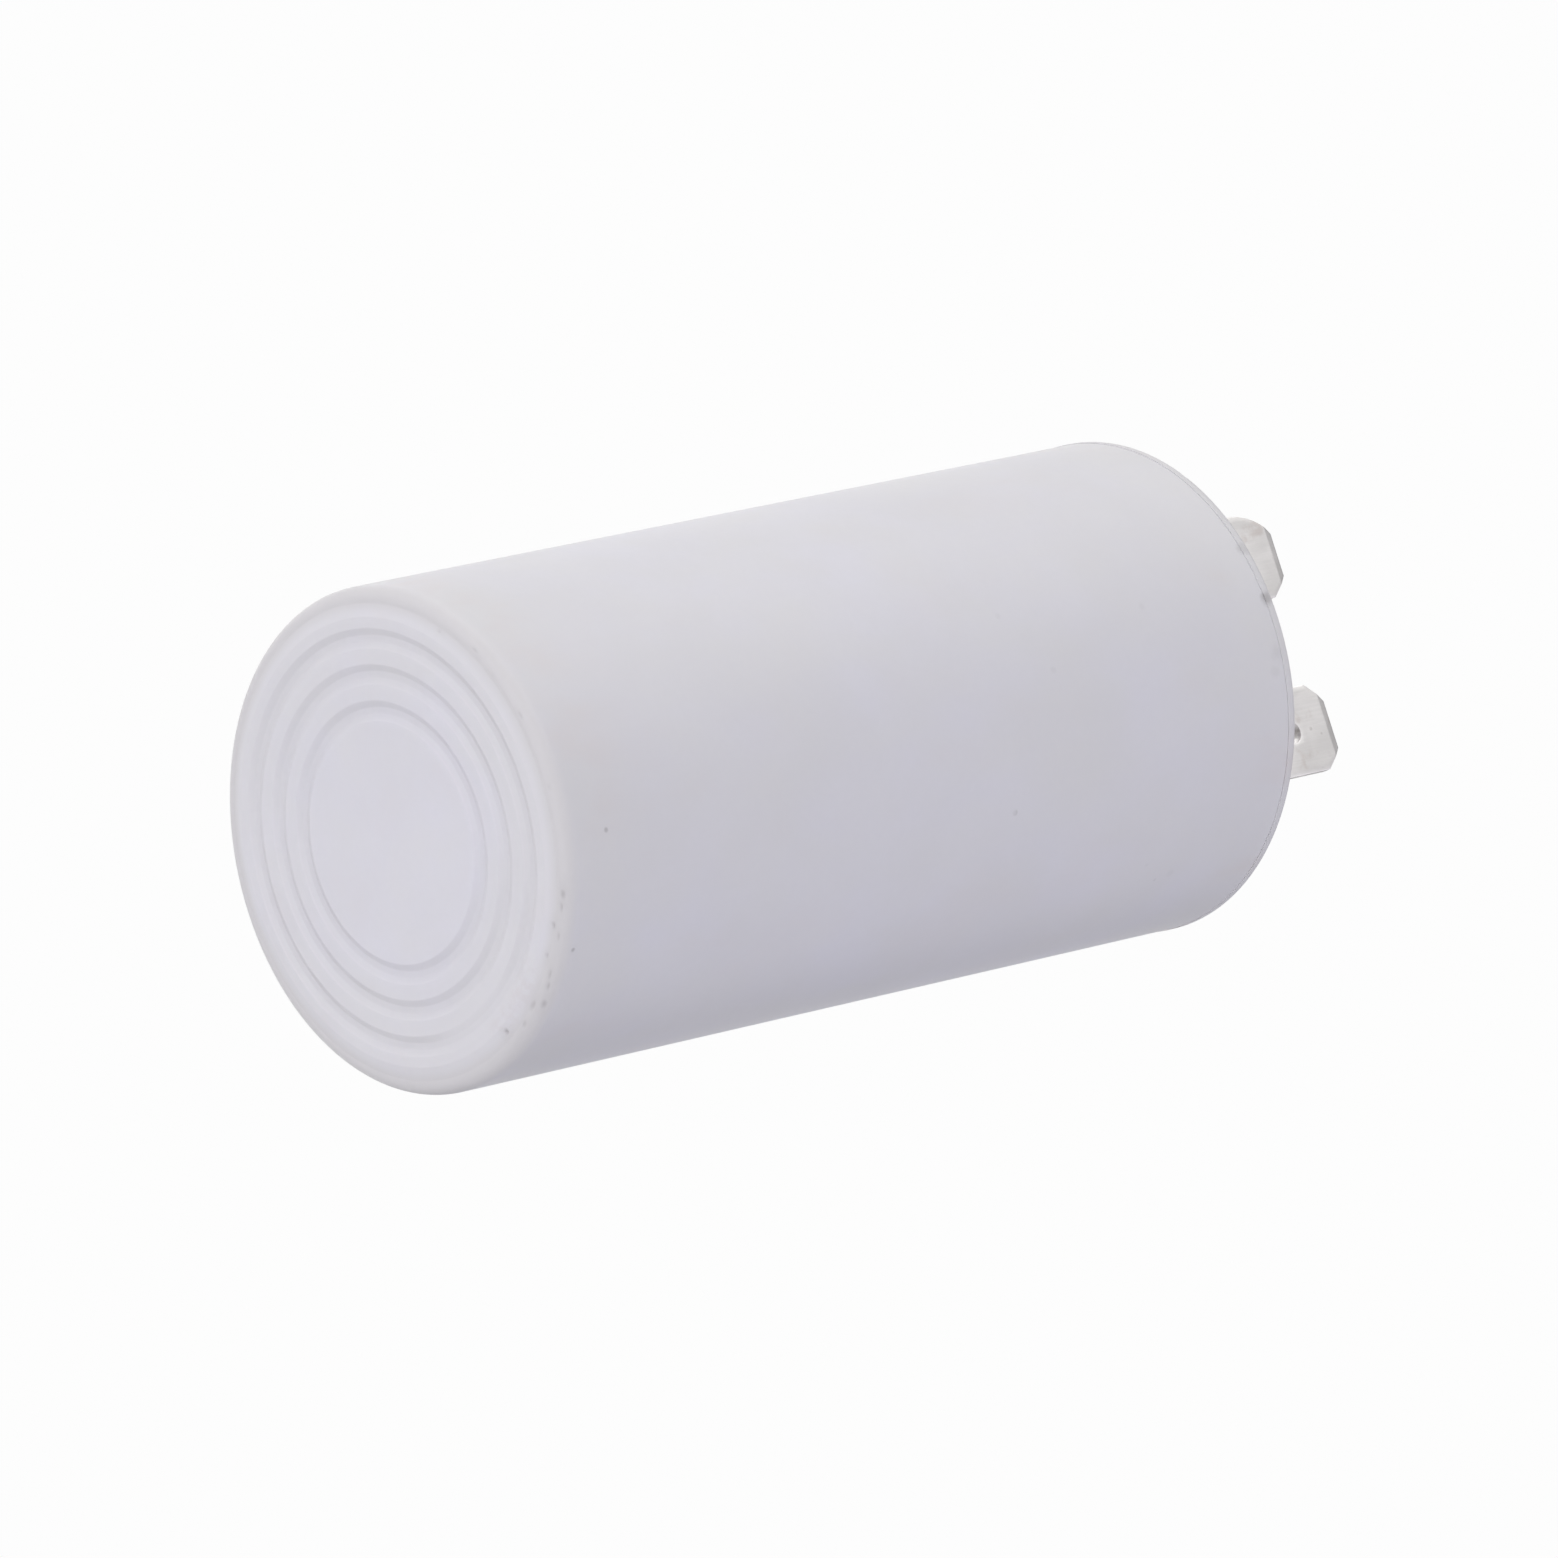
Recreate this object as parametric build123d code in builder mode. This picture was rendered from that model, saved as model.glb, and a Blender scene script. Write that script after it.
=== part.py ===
"""Motor start capacitor in a plastic case, with two riveted double-tab terminals.

The case stands on its closed, grooved end, centred on Z, with the terminals up. All sizes are in mm.
"""
from build123d import *
import os

os.makedirs("parts", exist_ok=True)

# ---------------------------------------------------------------- driving dimensions
# case: a moulded cup, closed end down
case_diameter = 35.0
case_height = 68.4
case_wall = 1.6
case_floor = 2.2
case_edge_radius = 0.55         # rounding between the closed end and the wall
rim_step_radius = 15.45         # the closed end stands proud inside this radius
rim_step_width = 0.95           # slope from there out to the rim
rim_step_height = 0.25
case_corner_bevel = 0.9         # the same corner inside
mouth_chamfer = 0.05            # broken edge of the mouth, seen as the seam under the lid
groove_count = 3
groove_outer_radius = 14.0
groove_pitch = 2.47
groove_width = 1.4              # at the face; the walls slope in to a flat bottom
groove_bottom_width = 0.45
groove_depth = 0.24
rib_count = 4                   # floor ribs that the wound element stands on
rib_height = 3.2
rib_thickness = 1.2
rib_inner_radius = 10.2
rib_root = 0.5                  # how deep a rib is rooted in the floor and in the wall

# lid: flange, spigot and two raised terminal pads, cored from below
flange_overhang = 0.05          # how far the flange stands out past the case
flange_thickness = 0.8
flange_edge_radius = 0.45
spigot_clearance = 0.1
spigot_depth = 4.0
spigot_wall = 1.3
spigot_lead_in = 0.35           # chamfer that guides the spigot into the case
pad_height = 3.0                # from the top of the flange to the terminal's seat
pad_wall = 1.4
pad_roof = 1.8
pad_corner_radius = 1.5
pad_top_radius = 0.3
pad_foot_radius = 0.4
pad_core_radius = 0.7           # corners of the core under a pad
guide_rib_height = 0.7          # ribs that stop the terminal from turning
guide_rib_thickness = 0.9
guide_rib_clearance = 0.15

# terminals: one folded strip each, with two standard 6.3 x 0.8 tabs
terminal_spacing = 12.9         # between the two rivets, along Y
tab_spacing = 8.8               # between the two blades of a terminal, centre to centre, along X
sheet_thickness = 0.8
bend_radius = 0.7               # inside the fold
tab_width = 6.3
base_width = 7.4                # the strip below the tabs' shoulders
tab_height = 11.1               # from the seat to the tip
shoulder_height = 3.0           # from the seat to the shoulders that stop a receptacle
tip_chamfer_width = 1.4         # cut-off corner of the tip, across the tab
tip_chamfer_height = 1.6        # the same cut, along the tab
tip_bevel_height = 0.65         # lead-in bevel on both faces of the tip
tip_bevel_depth = 0.22
latch_hole_diameter = 1.6
latch_hole_drop = 4.1           # from the tip to the centre of the latch hole

# rivets
rivet_diameter = 3.0
rivet_clearance = 0.05          # between the rivet and each hole
rivet_head_diameter = 6.0
rivet_head_height = 1.1
rivet_head_rounding = 0.75
rivet_dimple_diameter = 2.4
rivet_dimple_depth = 0.5
clinch_diameter = 4.8
clinch_height = 0.8
clinch_bevel = 0.35
rivet_bore_diameter = 1.6
rivet_bore_depth = 2.4

# solder lugs under the lid
lug_thickness = 0.5
lug_width = 4.4
lug_bend_radius = 0.5           # inside the fold
lug_tail_reach = 3.4            # from the rivet's centre to the far face of the tail
lug_tail_drop = 5.6             # from the lug's top face to the tail's lower end
lug_end_reach = 2.6             # from the rivet's centre to the rounded end
lug_end_rounding = 1.9
lug_tail_rounding = 0.5

# wound element
resin_gap = 0.6                 # resin between the element and the case wall
wrap_thickness = 0.3
element_headroom = 13.8         # from the top of the wound element to the mouth of the case
contact_thickness = 0.6
contact_inset = 0.4             # the sprayed end stops this far inside the film's outer turn
core_diameter = 7.0
core_wall = 0.9
resin_cover = 3.0               # resin over the upper end contact

# leads
conductor_diameter = 1.2
sleeve_diameter = 2.4
lead_gap = 0.2                  # between a lead and the end contact it runs along
lead_float = 0.3                # between the second lead and the resin it crosses
lead_bend_radius = 3.0
strip_margin = 0.3              # bare conductor past the solder and past the lug
lower_lead_inset = 5.6          # from the edge of the lower contact to the lead's end
upper_lead_inset = 7.1          # from the reach of the upper contact along X to the lead's end
contact_solder_radius = 2.6
contact_solder_height = 2.3
lug_solder_width = 3.2
lug_solder_height = 2.2
lug_solder_rounding = 0.8
lug_solder_film = 0.1           # solder between the conductor and the tail
lug_solder_cover = 0.35         # solder over the conductor
lug_solder_taper = 15           # degrees
lug_solder_lift = 0.6           # from the tail's lower end to the solder
lead_end_rise = 3.4             # from the tail's lower end to the end of the conductor

# ---------------------------------------------------------------- sizes that follow
case_radius = case_diameter / 2
cavity_radius = case_radius - case_wall
groove_radii = [groove_outer_radius - groove_pitch * index for index in range(groove_count)]

flange_radius = case_radius + flange_overhang
spigot_radius = cavity_radius - spigot_clearance
lid_top = case_height + flange_thickness
seat_level = lid_top + pad_height
ceiling_level = seat_level - pad_roof
terminal_length = tab_spacing + sheet_thickness
pad_length = terminal_length + 2 * pad_wall
guide_rib_offset = base_width / 2 + guide_rib_clearance + guide_rib_thickness / 2
pad_width = 2 * (guide_rib_offset + guide_rib_thickness / 2 + pad_top_radius)
rivet_hole_radius = rivet_diameter / 2 + rivet_clearance
tip_level = seat_level + tab_height

element_bottom = case_floor + rib_height
film_bottom = element_bottom + contact_thickness
element_top = case_height - element_headroom
film_top = element_top - contact_thickness
wrap_radius = cavity_radius - resin_gap
film_radius = wrap_radius - wrap_thickness
contact_radius = film_radius - contact_inset
core_radius = core_diameter / 2
core_bore_radius = core_radius - core_wall
resin_level = element_top + resin_cover

lug_top = ceiling_level
tail_bottom = lug_top - lug_tail_drop
conductor_radius = conductor_diameter / 2
sleeve_radius = sleeve_diameter / 2
lead_x = lug_tail_reach + lug_solder_film + conductor_radius
lug_solder_depth = lug_solder_film + conductor_diameter + lug_solder_cover
lead_end_level = tail_bottom + lead_end_rise
contact_strip = conductor_radius + contact_solder_radius + strip_margin
lug_strip = lead_end_rise + strip_margin
lower_lead_level = element_bottom - lead_gap - sleeve_radius
upper_lead_level = element_top + lead_gap + sleeve_radius
crossing_level = resin_level + lead_float + sleeve_radius
lower_lead_reach = contact_radius - lower_lead_inset
upper_lead_reach = contact_radius - upper_lead_inset

sides = {"a": -terminal_spacing / 2, "b": terminal_spacing / 2}


def save(builder, name):
    """Label a finished piece and write it under its own name."""
    builder.part.label = name
    export_step(builder.part, f"parts/{name}.step")
    print(f"{name}: {builder.part.volume:.1f} mm3")


# ---------------------------------------------------------------- case
def make_case():
    """Moulded cup: a revolved wall and floor, ring grooves and a stepped rim outside, standing ribs inside."""
    with BuildPart() as case:
        with BuildSketch(Plane.XZ) as section:
            with BuildLine():
                Polyline(
                    (0, 0),
                    (rim_step_radius, 0),
                    (rim_step_radius + rim_step_width, rim_step_height),
                    (case_radius, rim_step_height),
                    (case_radius, case_height),
                    (cavity_radius, case_height),
                    (cavity_radius, case_floor),
                    (0, case_floor),
                    close=True,
                )
            make_face()
            inner_corner = section.vertices().group_by(Axis.Y)[2].sort_by(Axis.X)[-1]
            chamfer(inner_corner, case_corner_bevel)
            outer_corner = section.vertices().group_by(Axis.Y)[1].sort_by(Axis.X)[-1]
            fillet(outer_corner, case_edge_radius)
            mouth_corner = section.vertices().group_by(Axis.Y)[-1].sort_by(Axis.X)[-1]
            chamfer(mouth_corner, mouth_chamfer)
            with BuildLine():
                for radius in groove_radii:
                    Polyline(
                        (radius - groove_width / 2, 0),
                        (radius - groove_bottom_width / 2, groove_depth),
                        (radius + groove_bottom_width / 2, groove_depth),
                        (radius + groove_width / 2, 0),
                        close=True,
                    )
            make_face(mode=Mode.SUBTRACT)
        revolve(axis=Axis.Z)
        rib_length = cavity_radius + rib_root - rib_inner_radius
        with BuildSketch(Plane.XY.offset(case_floor - rib_root)):
            with PolarLocations(rib_inner_radius + rib_length / 2, rib_count, start_angle=45):
                Rectangle(rib_length, rib_thickness)
        extrude(amount=rib_height + rib_root)
    return case


# ---------------------------------------------------------------- lid
def make_lid():
    """Moulded lid: flange and spigot, two raised pads cored from below, guide ribs and rivet holes."""
    pad_places = [(0, y) for y in sides.values()]
    with BuildPart() as lid:
        with BuildSketch(Plane.XY.offset(case_height)):
            Circle(flange_radius)
        extrude(amount=flange_thickness)
        rim = lid.edges().filter_by(GeomType.CIRCLE).sort_by(Axis.Z)[-1]
        fillet(rim, flange_edge_radius)
        with BuildSketch(Plane.XY.offset(case_height)):
            Circle(spigot_radius)
            Circle(spigot_radius - spigot_wall, mode=Mode.SUBTRACT)
        extrude(amount=-spigot_depth)
        mouth = lid.edges().filter_by(GeomType.CIRCLE).group_by(Axis.Z)[0].sort_by(SortBy.RADIUS)[-1]
        chamfer(mouth, spigot_lead_in)

        with BuildSketch(Plane.XY.offset(lid_top)):
            with Locations(pad_places):
                RectangleRounded(pad_length, pad_width, pad_corner_radius)
        extrude(amount=pad_height)
        pad_tops = lid.edges().group_by(Axis.Z)[-1]
        fillet(pad_tops, pad_top_radius)
        pad_feet = lid.faces().filter_by(Plane.XY).sort_by(Axis.Z)[-3].inner_wires().edges()
        fillet(pad_feet, pad_foot_radius)
        with BuildSketch(Plane.XY.offset(seat_level)):
            for place in pad_places:
                with Locations(place):
                    with Locations((0, -guide_rib_offset), (0, guide_rib_offset)):
                        Rectangle(pad_length - 2 * pad_corner_radius, guide_rib_thickness)
        extrude(amount=guide_rib_height)

        core_length = pad_length - 2 * pad_wall
        core_width = pad_width - 2 * pad_wall
        with BuildSketch(Plane.XY.offset(case_height)):
            with Locations(pad_places):
                RectangleRounded(core_length, core_width, pad_core_radius)
        extrude(amount=ceiling_level - case_height, mode=Mode.SUBTRACT)
        with Locations([(x, y, seat_level) for x, y in pad_places]):
            Hole(rivet_hole_radius, depth=pad_height)
    return lid


# ---------------------------------------------------------------- terminals
def make_terminal(y):
    """Double tab folded from one strip: a U from the side, with the tabs' outline cut from its width."""
    half_length = terminal_length / 2
    with BuildPart() as terminal:
        with BuildSketch(Plane.XZ.offset(-y)):
            with BuildLine():
                inner_half = half_length - sheet_thickness
                bevel_level = tip_level - tip_bevel_height
                FilletPolyline(
                    (-half_length, bevel_level),
                    (-half_length, seat_level),
                    (half_length, seat_level),
                    (half_length, bevel_level),
                    radius=bend_radius + sheet_thickness,
                )
                FilletPolyline(
                    (inner_half, bevel_level),
                    (inner_half, seat_level + sheet_thickness),
                    (-inner_half, seat_level + sheet_thickness),
                    (-inner_half, bevel_level),
                    radius=bend_radius,
                )
                for side in (-1, 1):
                    Polyline(
                        (side * half_length, bevel_level),
                        (side * (half_length - tip_bevel_depth), tip_level),
                        (side * (inner_half + tip_bevel_depth), tip_level),
                        (side * inner_half, bevel_level),
                    )
            make_face()
        extrude(amount=base_width / 2, both=True)

        with BuildSketch(Plane(origin=(-half_length, y, seat_level), x_dir=(0, 1, 0), z_dir=(1, 0, 0))):
            with BuildLine():
                Polyline(
                    (-base_width / 2, 0),
                    (-base_width / 2, shoulder_height),
                    (-tab_width / 2, shoulder_height),
                    (-tab_width / 2, tab_height - tip_chamfer_height),
                    (-tab_width / 2 + tip_chamfer_width, tab_height),
                    (tab_width / 2 - tip_chamfer_width, tab_height),
                    (tab_width / 2, tab_height - tip_chamfer_height),
                    (tab_width / 2, shoulder_height),
                    (base_width / 2, shoulder_height),
                    (base_width / 2, 0),
                    close=True,
                )
            make_face()
        extrude(amount=terminal_length, mode=Mode.INTERSECT)

        with Locations((0, y, seat_level + sheet_thickness)):
            Hole(rivet_hole_radius, depth=sheet_thickness)
        with BuildSketch(Plane.YZ.offset(-half_length)):
            with Locations((y, tip_level - latch_hole_drop)):
                Circle(latch_hole_diameter / 2)
        extrude(amount=terminal_length, mode=Mode.SUBTRACT)
    return terminal


def make_rivet(y):
    """Tubular rivet: dished head on the terminal, shank through lid and lug, rolled clinch below."""
    head_bottom = seat_level + sheet_thickness
    head_top = head_bottom + rivet_head_height
    clinch_top = lug_top - lug_thickness
    clinch_bottom = clinch_top - clinch_height
    with BuildPart() as rivet:
        with BuildSketch(Plane.XZ.offset(-y)) as section:
            with BuildLine():
                Polyline(
                    (0, head_top - rivet_dimple_depth),
                    (rivet_dimple_diameter / 2, head_top),
                    (rivet_head_diameter / 2, head_top),
                    (rivet_head_diameter / 2, head_bottom),
                    (rivet_diameter / 2, head_bottom),
                    (rivet_diameter / 2, clinch_top),
                    (clinch_diameter / 2, clinch_top),
                    (clinch_diameter / 2, clinch_bottom),
                    (rivet_bore_diameter / 2, clinch_bottom),
                    (rivet_bore_diameter / 2, clinch_bottom + rivet_bore_depth),
                    (0, clinch_bottom + rivet_bore_depth),
                    close=True,
                )
            make_face()
            head_corner = section.vertices().group_by(Axis.Y)[-1].sort_by(Axis.X)[-1]
            fillet(head_corner, rivet_head_rounding)
            clinch_corners = section.vertices().group_by(Axis.Y)[0]
            chamfer(clinch_corners, clinch_bevel)
        revolve(axis=Axis((0, y, 0), (0, 0, 1)))
    return rivet


def make_lug(y):
    """Solder lug: a flat round-ended ring under the lid, with a tail folded down for the lead."""
    with BuildPart() as lug:
        with BuildSketch(Plane.XZ.offset(-y)):
            with BuildLine():
                FilletPolyline(
                    (-lug_end_reach, lug_top),
                    (lug_tail_reach, lug_top),
                    (lug_tail_reach, tail_bottom),
                    radius=lug_bend_radius + lug_thickness,
                )
                FilletPolyline(
                    (-lug_end_reach, lug_top - lug_thickness),
                    (lug_tail_reach - lug_thickness, lug_top - lug_thickness),
                    (lug_tail_reach - lug_thickness, tail_bottom),
                    radius=lug_bend_radius,
                )
                Line((-lug_end_reach, lug_top), (-lug_end_reach, lug_top - lug_thickness))
                Line((lug_tail_reach, tail_bottom), (lug_tail_reach - lug_thickness, tail_bottom))
            make_face()
        extrude(amount=lug_width / 2, both=True)
        end_corners = lug.edges().filter_by(Axis.Z).group_by(Axis.X)[0]
        fillet(end_corners, lug_end_rounding)
        tail_corners = lug.edges().filter_by(Axis.X).group_by(Axis.Z)[0]
        fillet(tail_corners, lug_tail_rounding)
        with Locations((0, y, lug_top)):
            Hole(rivet_hole_radius, depth=lug_thickness)
    return lug


# ---------------------------------------------------------------- wound element
def make_tube(outer_radius, inner_radius, bottom, top):
    """Plain tube about Z: the film roll, its core, its wrap and the sprayed ends."""
    with BuildPart() as tube:
        with BuildSketch(Plane.XY.offset(bottom)):
            Circle(outer_radius)
            Circle(inner_radius, mode=Mode.SUBTRACT)
        extrude(amount=top - bottom)
    return tube


# ---------------------------------------------------------------- leads
def lead_route(name):
    """Corner points of a lead, from its solder on an end contact to its solder on a lug."""
    y = sides[name]
    if name == "a":
        return [
            (-upper_lead_reach, y, upper_lead_level),
            (lead_x, y, upper_lead_level),
            (lead_x, y, lead_end_level),
        ]
    return [
        (lower_lead_reach, 0, lower_lead_level),
        (0, 0, lower_lead_level),
        (0, 0, crossing_level),
        (lead_x, y, crossing_level),
        (lead_x, y, lead_end_level),
    ]


def make_rod(points, radius, start_trim=0.0, end_trim=0.0):
    """Round rod swept along straight runs joined by arcs, shortened at its two ends by the trims."""
    start, after = Vector(*points[0]), Vector(*points[1])
    end, before = Vector(*points[-1]), Vector(*points[-2])
    start = start + (after - start).normalized() * start_trim
    end = end + (before - end).normalized() * end_trim
    corners = [start] + [Vector(*point) for point in points[1:-1]] + [end]
    with BuildPart() as rod:
        with BuildLine() as route:
            FilletPolyline(*corners, radius=lead_bend_radius)
        with BuildSketch(Plane(origin=start, z_dir=after - start)):
            Circle(radius)
        sweep(path=route.wires()[0])
    return rod


def make_contact_solder(centre, surface_level, direction, conductor):
    """Cap of solder on an end contact, round the end of the lead. direction is +1 up or -1 down."""
    cap_radius = (contact_solder_radius**2 + contact_solder_height**2) / (2 * contact_solder_height)
    with BuildPart() as solder:
        with BuildSketch(Plane.XZ.offset(-centre[1])):
            with Locations((centre[0], surface_level + direction * (contact_solder_height - cap_radius))):
                Circle(cap_radius)
            with Locations((centre[0] + cap_radius / 2, surface_level + direction * cap_radius)):
                Rectangle(cap_radius, 2 * cap_radius, mode=Mode.INTERSECT)
        revolve(axis=Axis((centre[0], centre[1], 0), (0, 0, 1)))
        add(conductor.part, mode=Mode.SUBTRACT)
    return solder


def make_lug_solder(y, conductor):
    """Rounded block of solder that joins the end of the lead to the lug's tail."""
    middle = tail_bottom + lug_solder_lift + lug_solder_height / 2
    with BuildPart() as solder:
        with BuildSketch(Plane.YZ.offset(lug_tail_reach)):
            with Locations((y, middle)):
                RectangleRounded(lug_solder_width, lug_solder_height, lug_solder_rounding)
        extrude(amount=lug_solder_depth, taper=lug_solder_taper)
        add(conductor.part, mode=Mode.SUBTRACT)
    return solder


# ---------------------------------------------------------------- build every piece
case = make_case()
lid = make_lid()
save(case, "case")
save(lid, "lid")

for name, y in sides.items():
    save(make_terminal(y), f"terminal_{name}")
    save(make_rivet(y), f"rivet_{name}")
    save(make_lug(y), f"solder_lug_{name}")

wound_film = make_tube(film_radius, core_radius, film_bottom, film_top)
core_tube = make_tube(core_radius, core_bore_radius, element_bottom, element_top)
outer_wrap = make_tube(wrap_radius, film_radius, film_bottom, film_top)
end_contact_lower = make_tube(contact_radius, core_radius, element_bottom, film_bottom)
end_contact_upper = make_tube(contact_radius, core_radius, film_top, element_top)
save(wound_film, "wound_film")
save(core_tube, "core_tube")
save(outer_wrap, "outer_wrap")
save(end_contact_lower, "end_contact_lower")
save(end_contact_upper, "end_contact_upper")

lead_pieces = []
for name, y in sides.items():
    route = lead_route(name)
    conductor = make_rod(route, conductor_radius)
    sleeve = make_rod(route, sleeve_radius, contact_strip, lug_strip)
    with BuildPart() as hollow_sleeve:
        add(sleeve.part)
        add(conductor.part, mode=Mode.SUBTRACT)
    if name == "a":
        solder_place = (-upper_lead_reach + conductor_radius, y)
        contact_solder = make_contact_solder(solder_place, element_top, 1, conductor)
    else:
        solder_place = (lower_lead_reach - conductor_radius, 0)
        contact_solder = make_contact_solder(solder_place, element_bottom, -1, conductor)
    lead_pieces += [conductor, sleeve, contact_solder]
    save(conductor, f"lead_wire_{name}")
    save(hollow_sleeve, f"lead_sleeve_{name}")
    save(contact_solder, f"contact_solder_{name}")
    save(make_lug_solder(y, conductor), f"lug_solder_{name}")

with BuildPart() as potting_resin:
    with BuildSketch(Plane.XY.offset(case_floor)):
        Circle(cavity_radius)
    extrude(amount=resin_level - case_floor)
    for piece in (case, wound_film, core_tube, outer_wrap, end_contact_lower, end_contact_upper):
        add(piece.part, mode=Mode.SUBTRACT)
    for piece in lead_pieces:
        add(piece.part, mode=Mode.SUBTRACT)
save(potting_resin, "potting_resin")
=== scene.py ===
"""Motor start capacitor: its finishes, the marks on its rim and a plain studio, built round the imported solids.

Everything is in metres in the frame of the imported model: Z up, standing on the closed, grooved end of the
case. Sizes are written in millimetres times MM.
"""

import math

import bpy
import numpy as np
from bpy.props import FloatProperty, FloatVectorProperty, IntProperty, PointerProperty
from bpy.types import Operator, Panel, PropertyGroup
from mathutils import Matrix, Vector


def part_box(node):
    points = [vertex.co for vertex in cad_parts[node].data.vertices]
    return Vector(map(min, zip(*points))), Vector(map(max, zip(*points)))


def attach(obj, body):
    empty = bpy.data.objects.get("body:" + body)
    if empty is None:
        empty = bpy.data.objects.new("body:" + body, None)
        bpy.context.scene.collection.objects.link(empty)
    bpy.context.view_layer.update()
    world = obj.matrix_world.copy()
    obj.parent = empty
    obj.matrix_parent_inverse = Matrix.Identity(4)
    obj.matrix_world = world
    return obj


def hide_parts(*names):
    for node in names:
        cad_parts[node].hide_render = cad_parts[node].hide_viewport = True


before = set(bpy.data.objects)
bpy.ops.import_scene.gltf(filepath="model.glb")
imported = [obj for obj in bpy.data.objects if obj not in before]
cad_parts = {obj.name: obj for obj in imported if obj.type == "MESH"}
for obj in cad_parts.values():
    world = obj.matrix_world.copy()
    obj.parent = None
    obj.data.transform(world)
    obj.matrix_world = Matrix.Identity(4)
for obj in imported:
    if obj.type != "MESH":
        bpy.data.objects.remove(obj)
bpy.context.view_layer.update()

bl_info = {
    "name": "Motor Start Capacitor",
    "version": (1, 0, 0),
    "blender": (4, 5, 0),
    "location": "3D View > Sidebar > Capacitor",
    "description": "Moulded case with two double-tab terminals, dressed for a studio render",
    "category": "Object",
}

MM = 0.001
BODY = "root"
case_low, case_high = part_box("case")
lid_low, lid_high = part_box("lid")


# ---------------------------------------------------------------- meshes from arrays
def rounded_line(corners, radii, arc_steps, support=0.1 * MM):
    """Outline through the corners, each rounded by an arc that touches both of its sides.

    The arc's centre lies on the corner's bisector at radius / sin(half the corner's angle), and the arc
    starts at radius / tan(half the angle) along each side. A support point follows each arc closely, so
    that a smooth surface stays flat between two arcs; it takes at most 0.3 of what the arcs leave of the side.
    """
    corners = np.asarray(corners, float)
    sides = np.diff(corners, axis=0)
    lengths = np.linalg.norm(sides, axis=1)
    ways = sides / lengths[:, None]
    half = np.arccos(np.clip((-ways[:-1] * ways[1:]).sum(axis=1), -1, 1)) / 2
    tangents = np.concatenate([[0], radii / np.tan(half), [0]])
    supports = np.minimum(support, 0.3 * (lengths - tangents[:-1] - tangents[1:]))
    points = [corners[:1]]
    for index, (corner, radius, steps) in enumerate(zip(corners[1:-1], radii, arc_steps)):
        back, ahead = -ways[index], ways[index + 1]
        bisector = (back + ahead) / np.linalg.norm(back + ahead)
        centre = corner + bisector * radius / math.sin(half[index])
        first = corner + back * tangents[index + 1] - centre
        last = corner + ahead * tangents[index + 1] - centre
        sweep = math.pi - 2 * half[index]
        part = np.linspace(0, 1, steps + 1)[:, None]
        arc = (np.sin((1 - part) * sweep) * first + np.sin(part * sweep) * last) / math.sin(sweep)
        reach = centre + first + back * supports[index]
        leave = centre + last + ahead * supports[index + 1]
        points += [reach[None], centre + arc, leave[None]]
    points.append(corners[-1:])
    return np.concatenate(points)


def divided(outline, steps):
    """The outline with each stretch cut into equal parts of about its own step length."""
    lengths = np.linalg.norm(np.diff(outline, axis=0), axis=1)
    counts = np.maximum(1, np.round(lengths / steps)).astype(int)
    places = np.concatenate([k + np.arange(n) / n for k, n in enumerate(counts)] + [[len(counts)]])
    return np.stack([np.interp(places, np.arange(len(outline)), outline[:, axis]) for axis in (0, 1)], axis=1)


def rise(values, start, stop):
    """0 before start, 1 after stop and 3 t^2 - 2 t^3 between them, where t is the share of the way."""
    part = np.clip((values - start) / (stop - start), 0, 1)
    return part * part * (3 - 2 * part)


def turned(outline, angles):
    """Surface of revolution: radius r and height z of the outline become (r cos t, r sin t, z) at angle t."""
    radius, height = outline[:, :1], outline[:, 1:]
    return np.stack([radius * np.cos(angles), radius * np.sin(angles), height + 0 * angles], axis=-1)


def new_piece(name, vertices, faces, smooth=True):
    """Mesh object from an array of points and a list of arrays of faces, each with its own corner count."""
    mesh = bpy.data.meshes.new(name)
    corner_counts = np.concatenate([np.full(len(group), group.shape[1]) for group in faces])
    corners = np.concatenate([group.ravel() for group in faces])
    mesh.vertices.add(len(vertices))
    mesh.vertices.foreach_set("co", np.asarray(vertices, np.float32).ravel())
    mesh.loops.add(len(corners))
    mesh.loops.foreach_set("vertex_index", corners.astype(np.int32))
    mesh.polygons.add(len(corner_counts))
    starts = np.concatenate([[0], np.cumsum(corner_counts)[:-1]])
    mesh.polygons.foreach_set("loop_start", starts.astype(np.int32))
    mesh.polygons.foreach_set("use_smooth", np.full(len(corner_counts), smooth))
    mesh.update(calc_edges=True)
    mesh.validate()
    piece = bpy.data.objects.new(name, mesh)
    bpy.context.scene.collection.objects.link(piece)
    return piece


def turned_faces(rows, columns):
    """Faces of a closed solid of revolution whose outline starts and ends on the axis.

    Row 0 and the last row are one point each. Between them the points are stored row by row.
    """
    ring = np.arange(columns)
    beside = np.roll(ring, -1)
    inner = 1 + np.arange(rows - 3)[:, None] * columns
    quads = np.stack([inner + ring, inner + beside, inner + columns + beside, inner + columns + ring], axis=-1)
    last_ring = 1 + (rows - 3) * columns
    end = last_ring + columns
    opening = np.stack([0 * ring, 1 + beside, 1 + ring], axis=-1)
    closing = np.stack([end + 0 * ring, last_ring + ring, last_ring + beside], axis=-1)
    return [quads.reshape(-1, 4), opening, closing]


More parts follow.
